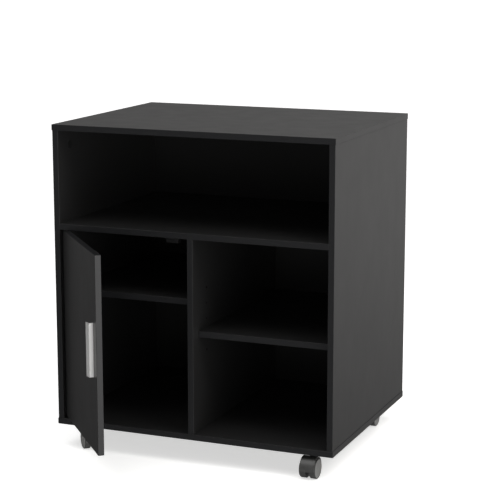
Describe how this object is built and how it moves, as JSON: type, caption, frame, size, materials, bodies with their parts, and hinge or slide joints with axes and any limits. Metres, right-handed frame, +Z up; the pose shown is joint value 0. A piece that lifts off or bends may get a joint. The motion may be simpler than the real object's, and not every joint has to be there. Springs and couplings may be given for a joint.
{
  "type": "mobile printer stand",
  "caption": "Black laminate cabinet on swivel casters with an open upper bay, an open shelved bay and a shelved bay behind a hinged door; the top carries a printer.",
  "frame": {"origin": "on the floor, below the middle of the cabinet's width and depth", "axes": "+Z up, +X to the right of somebody who faces the door, +Y towards the back"},
  "size_m": [0.6, 0.6578, 0.67],
  "materials": {
    "black_laminate": "satin black melamine on particle board",
    "back_hardboard": "matt black painted hardboard",
    "dowel_wood": "bare fluted hardwood",
    "zinc_fitting": "cast zinc",
    "screw_steel": "zinc plated",
    "pin_steel": "nickel plated",
    "plated_steel": "zinc plated",
    "satin_aluminium": "satin anodised",
    "magnet_ferrite": "matt",
    "black_plastic": "fine texture",
    "caster_hood_plastic": "satin moulded",
    "wheel_plastic": "satin nylon",
    "wheel_cap_plastic": "satin moulded"
  },
  "bodies": {
    "cabinet": {"cabinet_shelf_pins": "pin_steel", "open_shelf_pins": "pin_steel", "cam_bolts": "zinc_fitting", "cam_nuts": "zinc_fitting", "cam_cover_caps": "black_plastic", "wood_dowels": "dowel_wood", "back_panel_screws": "screw_steel", "lower_hinge_bush": "black_plastic", "upper_hinge_bush": "black_plastic", "catch_screws": "screw_steel", "catch_housing": "black_plastic", "catch_magnet": "magnet_ferrite", "caster_plate_screws": "screw_steel", "front_left_caster_plate": "plated_steel", "caster_kingpins": "plated_steel", "back_left_caster_plate": "plated_steel", "front_right_caster_plate": "plated_steel", "back_right_caster_plate": "plated_steel", "top_panel": "black_laminate", "bottom_panel": "black_laminate", "left_side_panel": "black_laminate", "right_side_panel": "black_laminate", "middle_shelf": "black_laminate", "divider_panel": "black_laminate", "back_panel": "back_hardboard", "cabinet_shelf": "black_laminate", "open_shelf": "black_laminate"},
    "door": {"lower_hinge_pin": "pin_steel", "upper_hinge_pin": "pin_steel", "door_panel": "black_laminate", "door_handle": "satin_aluminium", "door_handle_screws": "screw_steel", "catch_strike_plate": "plated_steel", "strike_plate_screw": "screw_steel"},
    "front_left_caster": {"front_left_caster_hood": "caster_hood_plastic", "front_left_caster_axle": "plated_steel"},
    "front_left_caster_left_wheel": {"front_left_caster_left_wheel": "wheel_plastic", "front_left_caster_left_wheel_cap": "wheel_cap_plastic"},
    "front_left_caster_right_wheel": {"front_left_caster_right_wheel": "wheel_plastic", "front_left_caster_right_wheel_cap": "wheel_cap_plastic"},
    "back_left_caster": {"back_left_caster_hood": "caster_hood_plastic", "back_left_caster_axle": "plated_steel"},
    "back_left_caster_left_wheel": {"back_left_caster_left_wheel": "wheel_plastic", "back_left_caster_left_wheel_cap": "wheel_cap_plastic"},
    "back_left_caster_right_wheel": {"back_left_caster_right_wheel": "wheel_plastic", "back_left_caster_right_wheel_cap": "wheel_cap_plastic"},
    "front_right_caster": {"front_right_caster_hood": "caster_hood_plastic", "front_right_caster_axle": "plated_steel"},
    "front_right_caster_left_wheel": {"front_right_caster_left_wheel": "wheel_plastic", "front_right_caster_left_wheel_cap": "wheel_cap_plastic"},
    "front_right_caster_right_wheel": {"front_right_caster_right_wheel": "wheel_plastic", "front_right_caster_right_wheel_cap": "wheel_cap_plastic"},
    "back_right_caster": {"back_right_caster_hood": "caster_hood_plastic", "back_right_caster_axle": "plated_steel"},
    "back_right_caster_left_wheel": {"back_right_caster_left_wheel": "wheel_plastic", "back_right_caster_left_wheel_cap": "wheel_cap_plastic"},
    "back_right_caster_right_wheel": {"back_right_caster_right_wheel": "wheel_plastic", "back_right_caster_right_wheel_cap": "wheel_cap_plastic"}
  },
  "joints": [
    {"name": "door_hinge", "type": "hinge", "parent": "cabinet", "child": "door", "pos_m": [-0.2745, -0.223, 0.0645], "axis": [0, 0, -1], "range_deg": [-49, 61]},
    {"name": "front_left_caster_swivel", "type": "hinge", "parent": "cabinet", "child": "front_left_caster", "pos_m": [-0.249, -0.196, 0.048], "axis": [0, 0, 1], "continuous": true},
    {"name": "front_left_caster_left_wheel_roll", "type": "hinge", "parent": "front_left_caster", "child": "front_left_caster_left_wheel", "pos_m": [-0.23562, -0.21086, 0.02], "axis": [0.7431, 0.6691, 0], "continuous": true},
    {"name": "front_left_caster_right_wheel_roll", "type": "hinge", "parent": "front_left_caster", "child": "front_left_caster_right_wheel", "pos_m": [-0.23562, -0.21086, 0.02], "axis": [0.7431, 0.6691, 0], "continuous": true},
    {"name": "front_right_caster_swivel", "type": "hinge", "parent": "cabinet", "child": "front_right_caster", "pos_m": [0.249, -0.196, 0.048], "axis": [0, 0, 1], "continuous": true},
    {"name": "front_right_caster_left_wheel_roll", "type": "hinge", "parent": "front_right_caster", "child": "front_right_caster_left_wheel", "pos_m": [0.249, -0.216, 0.02], "axis": [1, 0, 0], "continuous": true},
    {"name": "front_right_caster_right_wheel_roll", "type": "hinge", "parent": "front_right_caster", "child": "front_right_caster_right_wheel", "pos_m": [0.249, -0.216, 0.02], "axis": [1, 0, 0], "continuous": true},
    {"name": "back_left_caster_swivel", "type": "hinge", "parent": "cabinet", "child": "back_left_caster", "pos_m": [-0.249, 0.176, 0.048], "axis": [0, 0, 1], "continuous": true},
    {"name": "back_left_caster_left_wheel_roll", "type": "hinge", "parent": "back_left_caster", "child": "back_left_caster_left_wheel", "pos_m": [-0.249, 0.156, 0.02], "axis": [1, 0, 0], "continuous": true},
    {"name": "back_left_caster_right_wheel_roll", "type": "hinge", "parent": "back_left_caster", "child": "back_left_caster_right_wheel", "pos_m": [-0.249, 0.156, 0.02], "axis": [1, 0, 0], "continuous": true},
    {"name": "back_right_caster_swivel", "type": "hinge", "parent": "cabinet", "child": "back_right_caster", "pos_m": [0.249, 0.176, 0.048], "axis": [0, 0, 1], "continuous": true},
    {"name": "back_right_caster_left_wheel_roll", "type": "hinge", "parent": "back_right_caster", "child": "back_right_caster_left_wheel", "pos_m": [0.249, 0.156, 0.02], "axis": [1, 0, 0], "continuous": true},
    {"name": "back_right_caster_right_wheel_roll", "type": "hinge", "parent": "back_right_caster", "child": "back_right_caster_right_wheel", "pos_m": [0.249, 0.156, 0.02], "axis": [1, 0, 0], "continuous": true}
  ]
}
